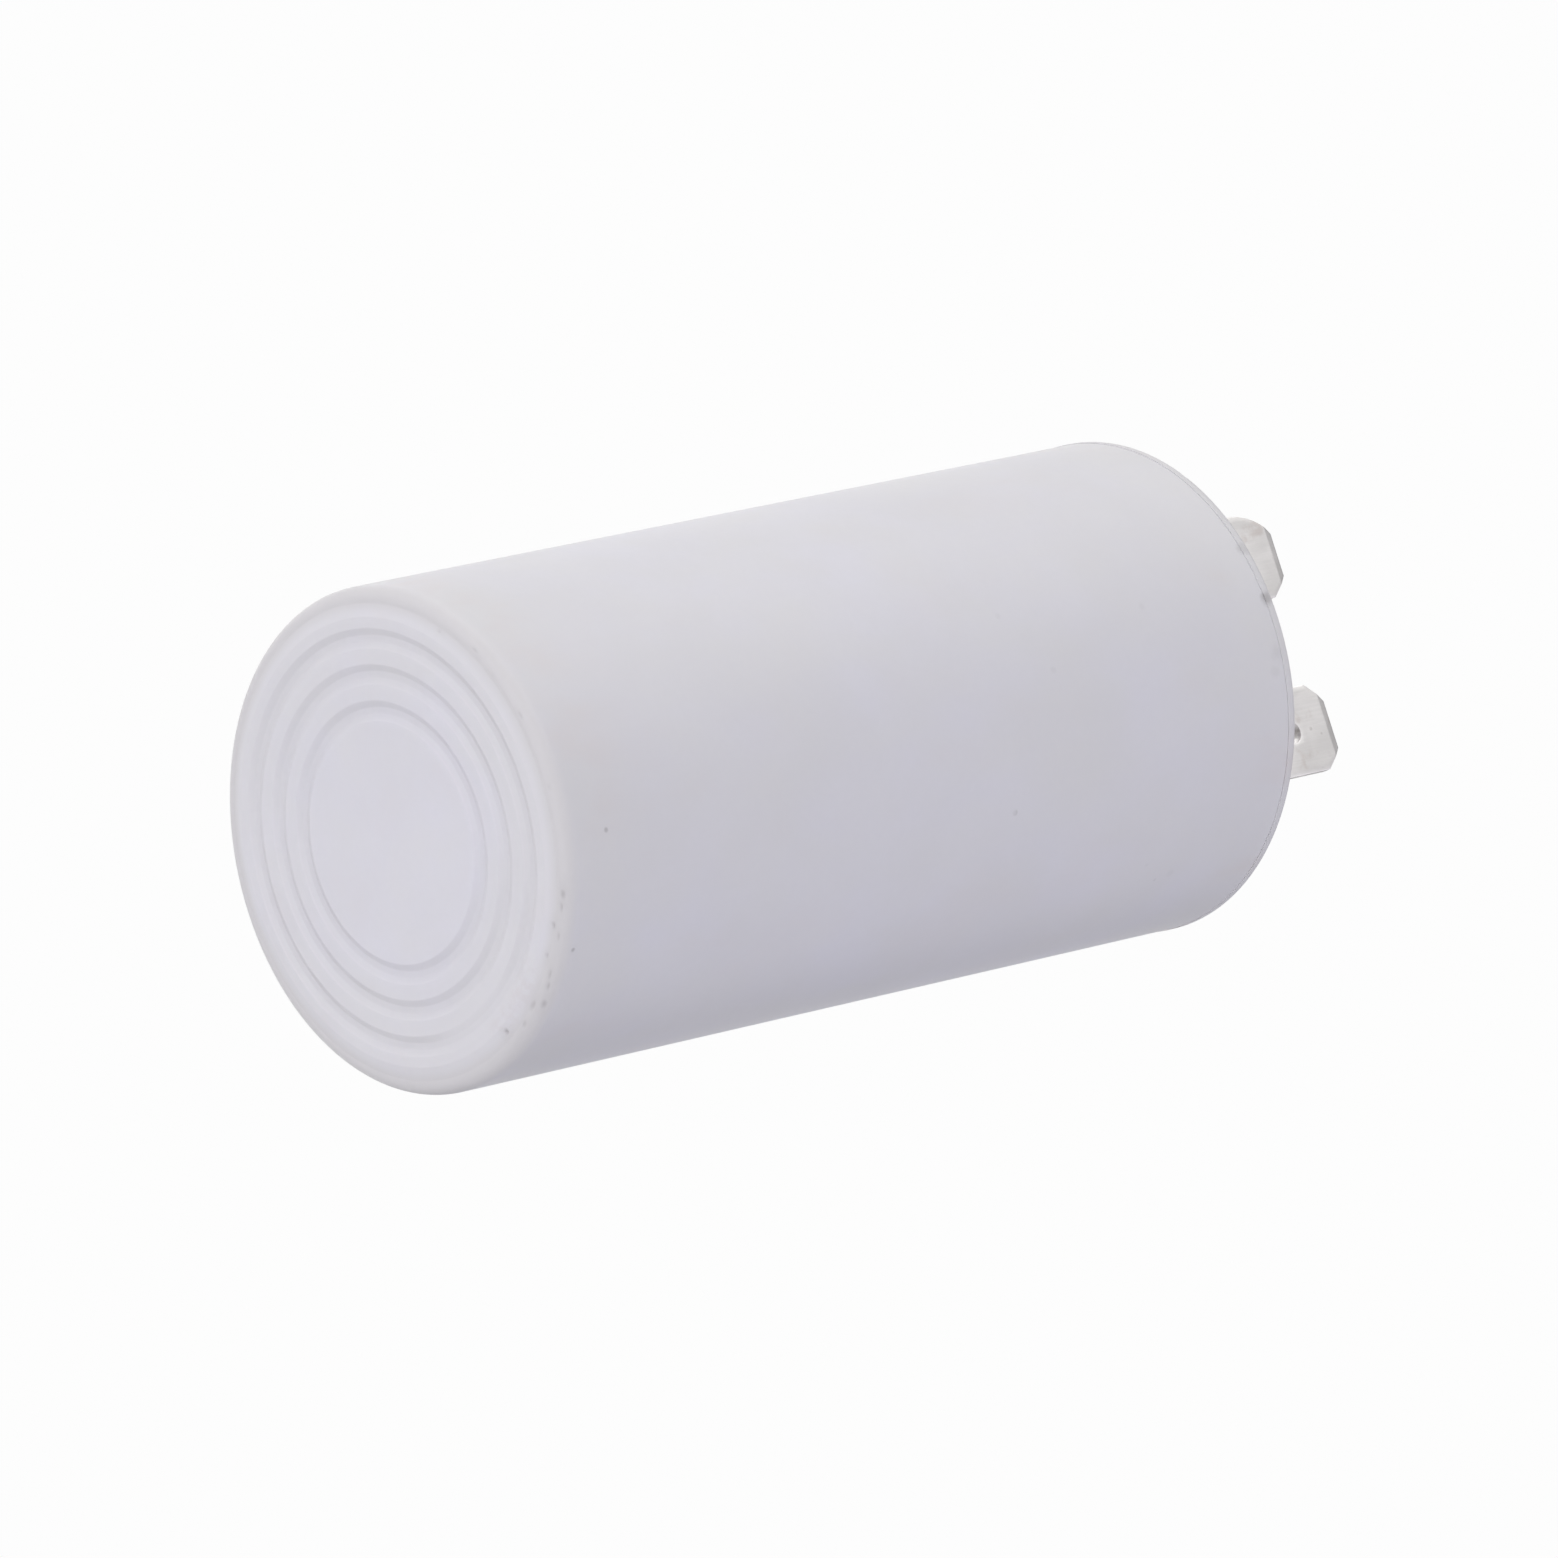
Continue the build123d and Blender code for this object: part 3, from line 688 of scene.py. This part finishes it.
def make_case(settings):
    """The moulded cup: a turned shell with ring grooves, nicks pressed into its rim, and ribs inside.

    One attribute darkens the colour, most in the nicks, a little round them, and faintly in the grooves, where it
    is painted shade. The smear attribute marks where the plastic was scuffed across the rim, which also half fills
    the outer groove there.
    """
    outline = case_outline(settings)
    fine = np.linspace(math.radians(-60), math.radians(110), 410, endpoint=False)
    coarse = np.linspace(math.radians(110), math.radians(300), 90, endpoint=False)
    angles = np.concatenate([fine, coarse])
    points = turned(outline, angles)
    degrees = np.degrees(angles)
    radius = outline[:, :1] + 0 * degrees
    height = outline[:, 1:] + 0 * degrees
    groove = (height < settings.step_height) & (radius < settings.step_radius)
    outer = groove & (np.abs(radius - settings.groove_outer_radius) < settings.groove_pitch / 2)
    filled = 0.75 * rise(degrees, 52, 66) * (1 - rise(degrees, 88, 104))
    points[..., 2] = np.where(outer, height * (1 - filled), height)
    smear = rise(degrees, 44, 56) * (1 - rise(degrees, 68, 78))
    smear = smear * rise(radius, 14.2 * MM, 15.0 * MM) * (1 - rise(radius, 16.7 * MM, 17.2 * MM)) * (height < 1 * MM)
    step = np.gradient(outline, axis=0)
    flat_normal = np.stack([step[:, 1], -step[:, 0]], axis=1)
    flat_normal /= np.linalg.norm(flat_normal, axis=1)[:, None]
    normals = turned(flat_normal, angles)
    depth, near = nick_depth(points, outline, settings.step_radius)
    points = points - normals * depth[..., None]
    # Painted shade in the grooves, and darker colour in the nicks and round them
    groove_shade = groove * np.clip(points[..., 2] / settings.groove_depth, 0, 1) ** 0.5
    grime = np.minimum(0.30 * depth / (0.1 * MM), 0.6) + 0.07 * near + 0.06 * groove_shade
    rows, columns = len(outline), len(angles)
    faces = turned_faces(rows, columns)

    def by_point(values):
        """One value for each stored point: the two ends of the outline are single points."""
        return np.concatenate([values[0, :1], values[1:-1].reshape(-1, *values.shape[2:]), values[-1, :1]])

    vertices = by_point(points)
    turned_count = len(vertices)
    inner = case_high.x - settings.wall
    rib_length = inner + settings.rib_root - settings.rib_inner_radius
    middle = settings.rib_inner_radius + rib_length / 2
    level = settings.floor + (settings.rib_height - settings.rib_root) / 2
    size = (rib_length, settings.rib_thickness, settings.rib_height + settings.rib_root)
    for index in range(settings.rib_count):
        turn = math.tau * (index + 0.5) / settings.rib_count
        corners, sides = slab((middle * math.cos(turn), middle * math.sin(turn), level), size, turn)
        faces.append(sides + len(vertices))
        vertices = np.concatenate([vertices, corners])
    piece = new_piece("case_shell", vertices, faces)
    plain = np.zeros(len(vertices) - turned_count)
    add_attribute(piece, "grime", np.concatenate([by_point(grime), plain]))
    add_attribute(piece, "smear", np.concatenate([by_point(smear), plain]))
    return piece


class CAPACITOR_OT_case(Operator):
    """Build the moulded case and give it its finish"""

    bl_idname = "capacitor.case"
    bl_label = "Case"

    def execute(self, context):
        settings = context.scene.capacitor_case
        piece = make_case(settings)
        colours = (settings.colour, settings.neutral, settings.warm)
        finish = moulded_plastic("case_plastic", *colours, settings.roughness, marked=True)
        piece.data.materials.append(finish)
        dress(finish, "case")
        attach(piece, BODY)
        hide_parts("case")
        return {"FINISHED"}


class CAPACITOR_OT_lid(Operator):
    """Give the lid its finish"""

    bl_idname = "capacitor.lid"
    bl_label = "Lid"

    def execute(self, context):
        settings = context.scene.capacitor_lid
        colours = (settings.colour, settings.neutral, settings.warm)
        finish = moulded_plastic("lid_plastic", *colours, settings.roughness, marked=False)
        dress(finish, "lid")
        piece = merged_copy("lid", "lid_moulding")
        piece.data.materials.append(finish)
        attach(piece, BODY)
        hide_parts("lid")
        return {"FINISHED"}


# ---------------------------------------------------------------- terminals
def fold(distance, reach, bend):
    """Place on the folded strip's middle surface, at a distance along it from its middle: x and height.

    The strip runs flat out to x = reach - bend, turns up through a quarter circle whose radius is bend, and then
    stands at x = reach: x = reach - bend + bend sin(q) and height = bend (1 - cos(q)), where q is the distance
    beyond the flat over bend, from 0 to a quarter turn.
    """
    along = np.abs(distance)
    flat = reach - bend
    quarter = bend * math.pi / 2
    q = np.clip((along - flat) / bend, 0, math.pi / 2)
    x = np.minimum(along, flat) + bend * np.sin(q)
    height = bend * (1 - np.cos(q)) + np.maximum(along - flat - quarter, 0)
    return np.sign(distance) * x, height


def side_width(below_tip, settings, worn):
    """Half width of the strip at a distance below its tip: shoulder, tab, and the cut at the tip's corner.

    A straight cut is half tab - cut (1 - below / cut height). A worn corner is half tab - loss (1 - below /
    worn height) to the power 2.2.
    """
    half_tab = settings.tab_width / 2
    if worn:
        worn_height = 2.4 * settings.cut_height
        loss = 1.25 * settings.cut_width
        width = half_tab - loss * np.clip(1 - below_tip / worn_height, 0, 1) ** 2.2
    else:
        width = half_tab - settings.cut_width * np.clip(1 - below_tip / settings.cut_height, 0, 1)
    return np.where(below_tip > settings.tab_length, settings.base_width / 2, width)


def strip_rows(settings, blade):
    """Distances below a tip at which the strip has a row, from the tip to the bend, and the hole's two rows."""
    square = settings.latch_square
    cut = np.linspace(0, settings.cut_height, 9)
    worn = np.linspace(settings.cut_height, settings.latch_drop - square, 4)[1:]
    hole = np.linspace(settings.latch_drop - square, settings.latch_drop + square, 9)[1:]
    shoulder = settings.tab_length
    tab = np.linspace(settings.latch_drop + square, shoulder - 0.02 * MM, 4)[1:]
    foot = np.linspace(shoulder + 0.02 * MM, blade, 3)
    taper = [0.3 * MM, settings.tip_taper, settings.tip_taper + 0.08 * MM]
    rows = np.concatenate([cut, worn, hole, tab, foot, taper])
    return np.unique(rows)


def make_terminal(name, centre, settings, worn):
    """Folded strip as a sheet of quads, thickened by modifiers.

    Rows run along the strip and columns across it. Round the rivet's hole and the two latch holes a block of
    8 x 8 quads is replaced by rings: ring k of n lies at square + (circle - square) k / n, point by point.
    """
    bend = settings.bend_radius + settings.sheet / 2
    reach = settings.blade_place
    seat = centre.z + settings.sheet / 2
    quarter = bend * math.pi / 2
    blade = settings.tip_height - seat - bend
    half_length = reach - bend + quarter + blade
    below = strip_rows(settings, blade)
    arc = reach - bend + np.linspace(0, quarter, 9)[:-1]
    base_square = settings.rivet_square
    base = np.linspace(0, base_square, 5)
    out = np.concatenate([base, np.linspace(base_square, reach - bend, 3)[1:], arc[1:], half_length - below[::-1]])
    out = np.unique(np.round(out, 7))
    out = out[np.append(True, np.diff(out) > 0.01 * MM)]
    rows = np.concatenate([-out[:0:-1], out])
    share_square = base_square / (settings.base_width / 2)
    outer = np.linspace(-1, -share_square, 4)
    columns = np.concatenate([outer, np.linspace(-share_square, share_square, 9)[1:-1], -outer[::-1]])

    below_tip = half_length - np.abs(rows)
    left = side_width(below_tip, settings, False)
    right = side_width(below_tip, settings, False)
    if worn:
        left = np.where(rows > 0, side_width(below_tip, settings, True), left)
    along = rows[:, None] + 0 * columns
    across = np.where(columns < 0, left[:, None] * columns, right[:, None] * columns)
    number = np.arange(along.size).reshape(along.shape)
    cells = np.ones((len(rows) - 1, len(columns) - 1), bool)
    first, last = 3, 11
    points = [np.stack([along, across], axis=-1).reshape(-1, 2)]
    faces = []
    count = along.size
    holes = [(0.0, settings.rivet_radius, base_square)]
    holes += [(side * (half_length - settings.latch_drop), settings.latch_radius, settings.latch_square)
              for side in (-1, 1)]
    for middle, radius, square in holes:
        low = int(np.argmin(np.abs(rows - (middle - square))))
        high = int(np.argmin(np.abs(rows - (middle + square))))
        cells[low:high, first:last] = False
        loop = np.concatenate([
            number[low, first:last], number[low:high, last], number[high, last:first:-1], number[high:low:-1, first]
        ])
        edge = points[0][loop]
        offset = edge - (middle, 0)
        circle = (middle, 0) + radius * offset / np.linalg.norm(offset, axis=1)[:, None]
        before = loop
        for part in (0.35, 0.7, 1.0):
            ring = count + np.arange(len(loop))
            points.append(edge + (circle - edge) * part)
            faces.append(np.stack([before, ring, np.roll(ring, -1), np.roll(before, -1)], axis=-1))
            before = ring
            count += len(loop)
    corner = number[:-1, :-1][cells]
    next_row = number[1:, :-1][cells]
    far = number[1:, 1:][cells]
    beside = number[:-1, 1:][cells]
    faces.append(np.stack([corner, next_row, far, beside], axis=-1))
    places = np.concatenate(points)
    faces = np.concatenate(faces)
    used, faces = np.unique(faces, return_inverse=True)
    places = places[used]
    faces = faces.reshape(-1, 4)

    x, height = fold(places[:, 0], reach, bend)
    vertices = np.stack([centre.x + x, centre.y + places[:, 1], seat + height], axis=1)
    piece = new_piece(name, vertices, [faces])
    thin = settings.tip_thickness / settings.sheet
    tip = np.clip((half_length - np.abs(places[:, 0])) / settings.tip_taper, 0, 1)
    group = piece.vertex_groups.new(name="thickness")
    for index, weight in enumerate(thin + (1 - thin) * tip):
        group.add([index], float(weight), "REPLACE")
    sheet = piece.modifiers.new("sheet", "SOLIDIFY")
    sheet.thickness = settings.sheet
    sheet.offset = 0
    sheet.vertex_group = "thickness"
    edges = piece.modifiers.new("edges", "BEVEL")
    edges.width = settings.edge_break
    edges.segments = 2
    edges.limit_method = "ANGLE"
    edges.angle_limit = math.radians(50)
    flat = piece.modifiers.new("flat", "WEIGHTED_NORMAL")
    flat.keep_sharp = True
    return piece


class CAPACITOR_OT_metal(Operator):
    """Give the terminals, rivets and solder lugs their finish"""

    bl_idname = "capacitor.metal"
    bl_label = "Terminals and rivets"

    def execute(self, context):
        settings = context.scene.capacitor_metal
        strip = tin_plate("tinned_sheet", settings.plate, settings.stain, settings.roughness, (0.3, 4, 0.3))
        dress(strip, "terminal_a", "terminal_b")
        for name, worn in (("terminal_a", True), ("terminal_b", False)):
            low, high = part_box(name)
            centre = Vector(((low.x + high.x) / 2, (low.y + high.y) / 2, low.z))
            piece = make_terminal(f"{name}_strip", centre, settings, worn)
            piece.data.materials.append(strip)
            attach(piece, BODY)
            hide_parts(name)
        lug = tin_plate("lug_plate", settings.plate, settings.stain, settings.roughness, (0.3, 4, 0.3))
        dress(lug, "solder_lug_a", "solder_lug_b")
        rivet = tin_plate("rivet_metal", settings.rivet, settings.stain, settings.roughness, (1, 1, 1))
        dress(rivet, "rivet_a", "rivet_b")
        return {"FINISHED"}


class CAPACITOR_OT_inside(Operator):
    """Give the wound element, the leads and the resin their finishes"""

    bl_idname = "capacitor.inside"
    bl_label = "Inside"

    def execute(self, context):
        settings = context.scene.capacitor_inside
        dress(wound_film("film", settings.film, 0.25), "wound_film")
        dress(plain_polymer("wrap_film", settings.wrap, 0.25, 0.3, 1.0), "outer_wrap")
        dress(plain_polymer("core_plastic", settings.core, 0.45, 0.0, 2.0), "core_tube")
        dress(soft_metal("sprayed_metal", settings.spray, 0.6, 4.0, 0.08 * MM), "end_contact_lower", "end_contact_upper")
        dress(soft_metal("copper_wire", settings.copper, 0.3, 1.5, 0.01 * MM), "lead_wire_a", "lead_wire_b")
        dress(plain_polymer("sleeve_plastic", settings.sleeve, 0.4, 0.1, 2.5), "lead_sleeve_a", "lead_sleeve_b")
        solder = soft_metal("solder", settings.solder, 0.28, 0.9, 0.04 * MM)
        dress(solder, "contact_solder_a", "contact_solder_b", "lug_solder_a", "lug_solder_b")
        dress(plain_polymer("resin", settings.resin, 0.18, 0.5, 0.6), "potting_resin")
        return {"FINISHED"}


# ---------------------------------------------------------------- stage
def seen_directly(finish):
    """1 for what the camera, a mirror or a glass sees directly, 0 for light on its way to a dull surface."""
    seen = finish.node("ShaderNodeLightPath", output="Is Camera Ray")
    mirrored = finish.node("ShaderNodeLightPath", output="Is Glossy Ray")
    through = finish.node("ShaderNodeLightPath", output="Is Transmission Ray")
    return (seen + mirrored + through).clamped()


def make_world(settings):
    """White behind everything that is looked at, and a plain grey for the light on dull surfaces.

    What the object mirrors is the same white, dimmer above the horizon and towards the shaded side.
    """
    world = Finish("studio", bpy.data.worlds)
    direct = world.node("ShaderNodeLightPath", output="Is Camera Ray")
    through = world.node("ShaderNodeLightPath", output="Is Transmission Ray")
    mirrored = world.node("ShaderNodeLightPath", output="Is Glossy Ray")
    way = world.node("ShaderNodeTexCoord", output="Generated")
    shaded = direction(settings.shaded_heading, settings.shaded_elevation)
    towards = world.node("ShaderNodeVectorMath", {"operation": "DOT_PRODUCT"}, {0: way, 1: shaded}, output="Value")
    dim = (1 - settings.shaded_depth * towards.between(0.60, 0.92))
    height = world.axis(way, "Z")
    dim = dim * (1 - settings.upper_loss * height.between(0.3, 0.6) - settings.overhead_loss * height.between(0.72, 1.0))
    white = world.node("ShaderNodeBackground", values={"Color": opaque((settings.background,) * 3)})
    studio = world.node("ShaderNodeBackground", values={"Color": opaque((settings.background,) * 3), "Strength": dim})
    grey = world.node("ShaderNodeBackground", values={"Color": opaque(settings.ambient)})
    shown = world.node("ShaderNodeMixShader", values={0: mirrored, 1: grey, 2: studio})
    shown = world.node("ShaderNodeMixShader", values={0: (direct + through).clamped(), 1: shown, 2: white})
    world.node("ShaderNodeOutputWorld", values={"Surface": shown})
    bpy.context.scene.world = world.material


def make_floor(settings):
    """A pale one-sided floor: it shows only to what looks down on it, and lets light from below through."""
    side = 3.0
    corners = np.array([[-side, -side, 0], [side, -side, 0], [side, side, 0], [-side, side, 0]])
    piece = new_piece("floor", corners, [np.array([[0, 1, 2, 3]])], smooth=False)
    finish = Finish("pale_floor")
    places = finish.places()
    behind = finish.node("ShaderNodeNewGeometry", output="Backfacing")
    visible = (seen_directly(finish) * (1 - behind)).clamped()
    away = finish.distance(places, (0, 0, 0))
    paper = finish.noise(places, 0.05, detail=3.0)
    base = finish.mix(paper, (0.86, 0.86, 0.86, 1), (0.88, 0.88, 0.88, 1))
    dull = finish.node("ShaderNodeBsdfDiffuse", values={"Color": base})
    glow = finish.node("ShaderNodeEmission", values={"Color": opaque((settings.floor_glow,) * 3)})
    matte = finish.node("ShaderNodeAddShader", values={0: dull, 1: glow})
    white = finish.node("ShaderNodeEmission", values={"Color": (settings.background,) * 3 + (1,)})
    faded = finish.node("ShaderNodeMixShader", values={0: away.between(110, 480), 1: matte, 2: white})
    clear = finish.node("ShaderNodeBsdfTransparent")
    shown = finish.node("ShaderNodeMixShader", values={0: visible, 1: clear, 2: faded})
    finish.node("ShaderNodeOutputMaterial", values={"Surface": shown})
    piece.data.materials.append(finish.material)


def direction(azimuth, elevation):
    """Unit vector at an angle from +X towards +Y and an angle above the horizon."""
    return Vector((
        math.cos(elevation) * math.cos(azimuth), math.cos(elevation) * math.sin(azimuth), math.sin(elevation)
    ))


def make_lamp(name, azimuth, elevation, level, size, colour, settings):
    """Square lamp that faces the middle of the case.

    A white matte surface that faces it renders at about the given level: power = level pi^2 distance^2.
    """
    lamp = bpy.data.lights.new(name, "AREA")
    lamp.shape = "SQUARE"
    lamp.size = size
    lamp.color = colour[:3]
    lamp.energy = level * (math.pi * settings.lamp_distance) ** 2
    holder = bpy.data.objects.new(name, lamp)
    away = direction(math.radians(azimuth), math.radians(elevation))
    middle = Vector((0, 0, (case_low.z + case_high.z) / 2))
    holder.location = middle + away * settings.lamp_distance
    holder.rotation_mode = "QUATERNION"
    holder.rotation_quaternion = (-away).to_track_quat("-Z", "Y")
    bpy.context.scene.collection.objects.link(holder)


def make_camera(settings):
    """Long lens, aimed at the middle of the case from below, with the case lying across the picture."""
    back = direction(settings.heading, settings.elevation)
    level = Vector((-back.y, back.x, 0)).normalized()
    upright = back.cross(level)
    up = upright * math.cos(settings.roll) - level * math.sin(settings.roll)
    right = up.cross(back)
    aim = Vector((0.0003, 0.00135, 0.03515))
    turn = Matrix((right, up, back)).transposed().to_4x4()
    data = bpy.data.cameras.new("camera")
    data.lens = settings.lens
    camera = bpy.data.objects.new("camera", data)
    camera.matrix_world = Matrix.Translation(aim + back * settings.distance) @ turn
    bpy.context.scene.collection.objects.link(camera)
    bpy.context.scene.camera = camera


class CAPACITOR_OT_stage(Operator):
    """Set up the floor, the world, the lamps and the camera"""

    bl_idname = "capacitor.stage"
    bl_label = "Stage"

    def execute(self, context):
        settings = context.scene.capacitor_stage
        context.scene.view_settings.view_transform = "Standard"
        make_world(settings)
        make_floor(settings)
        make_lamp("key_lamp", -66, 18, 0.86, 2.2, settings.warm_lamp, settings)
        make_lamp("end_lamp", -15, -68, 0.94, 1.8, settings.cool_lamp, settings)
        make_lamp("low_lamp", -165, -60, 0.10, 1.5, settings.cool_lamp, settings)
        make_lamp("side_lamp", 66, 30, 0.54, 1.9, settings.side_lamp, settings)
        make_lamp("back_lamp", 195, 16, 0.68, 2.0, settings.warm_lamp, settings)
        make_camera(settings)
        return {"FINISHED"}


# ---------------------------------------------------------------- panel and registration
class CAPACITOR_PT_pieces(Panel):
    """Lists the steps that dress the capacitor"""

    bl_idname = "CAPACITOR_PT_pieces"
    bl_label = "Motor Start Capacitor"
    bl_space_type = "VIEW_3D"
    bl_region_type = "UI"
    bl_category = "Capacitor"

    def draw(self, context):
        for name, operator in STEPS:
            box = self.layout.box()
            settings = getattr(context.scene, name)
            for key in settings.__annotations__:
                box.prop(settings, key)
            box.operator(operator.bl_idname)


GROUPS = {
    "capacitor_case": CaseSettings,
    "capacitor_lid": LidSettings,
    "capacitor_metal": MetalSettings,
    "capacitor_inside": InsideSettings,
    "capacitor_stage": StageSettings,
}
STEPS = (
    ("capacitor_case", CAPACITOR_OT_case),
    ("capacitor_lid", CAPACITOR_OT_lid),
    ("capacitor_metal", CAPACITOR_OT_metal),
    ("capacitor_inside", CAPACITOR_OT_inside),
    ("capacitor_stage", CAPACITOR_OT_stage),
)
CLASSES = (*GROUPS.values(), *(operator for _, operator in STEPS), CAPACITOR_PT_pieces)


def register():
    for item in CLASSES:
        bpy.utils.register_class(item)
    for name, group in GROUPS.items():
        setattr(bpy.types.Scene, name, PointerProperty(type=group))


def unregister():
    for name in GROUPS:
        delattr(bpy.types.Scene, name)
    for item in reversed(CLASSES):
        bpy.utils.unregister_class(item)


def main():
    """Build everything in order."""
    register()
    bpy.ops.capacitor.case()
    bpy.ops.capacitor.lid()
    bpy.ops.capacitor.metal()
    bpy.ops.capacitor.inside()
    bpy.ops.capacitor.stage()
    bpy.context.view_layer.update()


if __name__ == "__main__":
    main()
